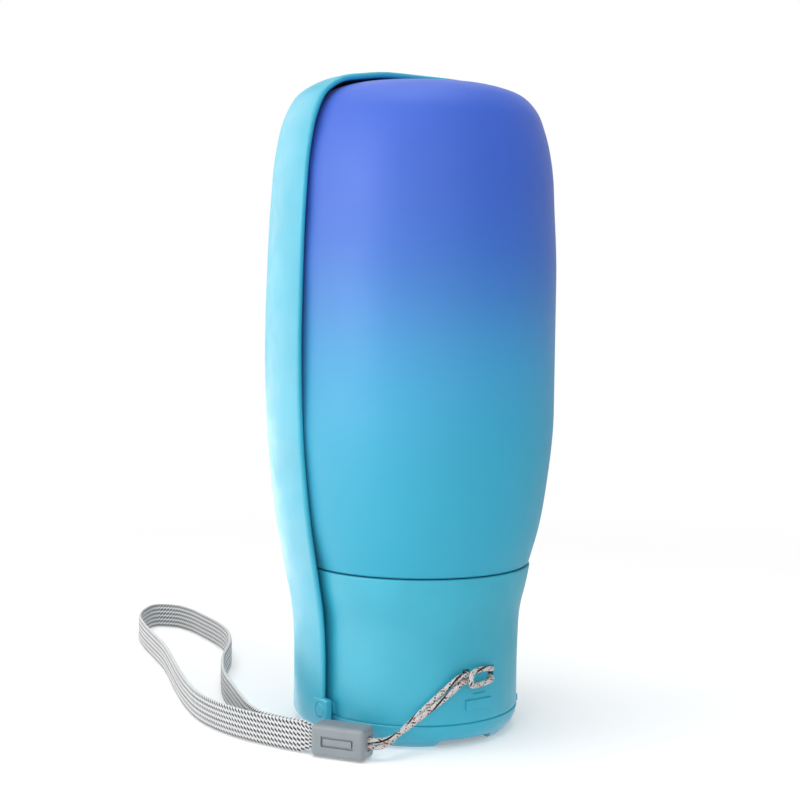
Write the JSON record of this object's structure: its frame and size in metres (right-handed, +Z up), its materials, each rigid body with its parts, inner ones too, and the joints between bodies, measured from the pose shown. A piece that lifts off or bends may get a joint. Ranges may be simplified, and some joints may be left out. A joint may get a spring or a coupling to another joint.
{
  "type": "pet water bottle",
  "caption": "Water bottle standing on its cap, with a hard drinking trough that wraps its back and folds down as a bowl, a lock ring under the cap and a wrist strap.",
  "frame": {"origin": "centre of the base on the floor, midway between the bottle's front and the trough's back", "axes": "+Z up along the bottle, +X away from the trough, +Y to the trough's left hinge pin"},
  "size_m": [0.2046, 0.1001, 0.1961],
  "materials": {
    "cyan_plastic": "satin moulding",
    "violet_blue_plastic": "soft-touch coat that fades from violet-blue at the top to cyan-blue at the bottom",
    "white_plastic": "smooth moulding",
    "clear_silicone": "matt silicone",
    "stainless_steel": "turned",
    "grey_plastic": "satin moulding",
    "striped_cord": "braided cord, white with flecks of red and black",
    "striped_webbing": "woven webbing, white with thin dark lines along it"
  },
  "bodies": {
    "cap": {"cap_collar": "cyan_plastic", "outlet_tube": "white_plastic", "outlet_seal": "clear_silicone", "valve_membrane": "clear_silicone", "valve_retainer": "white_plastic", "vent_valve": "clear_silicone", "pivot_washer": "stainless_steel", "pivot_screw": "stainless_steel", "hinge_pin_right": "cyan_plastic", "hinge_pin_left": "cyan_plastic", "hinge_washer_right": "white_plastic", "hinge_washer_left": "white_plastic", "lanyard_hitch": "striped_cord"},
    "neck_lift": {"neck_gasket": "clear_silicone"},
    "bottle": {"bottle_body": "violet_blue_plastic"},
    "lock": {"lock_ring": "cyan_plastic", "shutter_pad": "clear_silicone"},
    "trough": {"trough_shell": "cyan_plastic"},
    "strap": {"cord_leg_upper": "striped_cord", "cord_leg_lower": "striped_cord", "strap_clip": "grey_plastic", "cord_knot": "striped_cord", "clip_wedge": "grey_plastic", "webbing_loop": "striped_webbing"}
  },
  "joints": [
    {"name": "trough_flip", "type": "hinge", "parent": "cap", "child": "trough", "pos_m": [0.0034, 0, 0.0088], "axis": [0, -1, 0], "range_deg": [0, 180]},
    {"name": "strap_swing", "type": "hinge", "parent": "cap", "child": "strap", "pos_m": [0.0361, -0.0081, 0], "axis": [0, 0, 1], "range_deg": [0, 90]},
    {"name": "unscrew_rise", "type": "slide", "parent": "cap", "child": "neck_lift", "axis": [0, 0, 1], "range_m": [0, 0.00067]},
    {"name": "unscrew_turn", "type": "hinge", "parent": "neck_lift", "child": "bottle", "pos_m": [0.0034, 0, 0.0504], "axis": [0, 0, 1], "range_deg": [0, 75]},
    {"name": "lock_turn", "type": "hinge", "parent": "cap", "child": "lock", "pos_m": [0.0034, 0, 0.0068], "axis": [0, 0, 1], "range_deg": [0, 60]}
  ],
  "couplings": [
    {"joint": "strap_swing", "follows": "trough_flip", "ratio": 0.5},
    {"joint": "unscrew_rise", "follows": "unscrew_turn", "m_per_rad": 0.0005093}
  ]
}
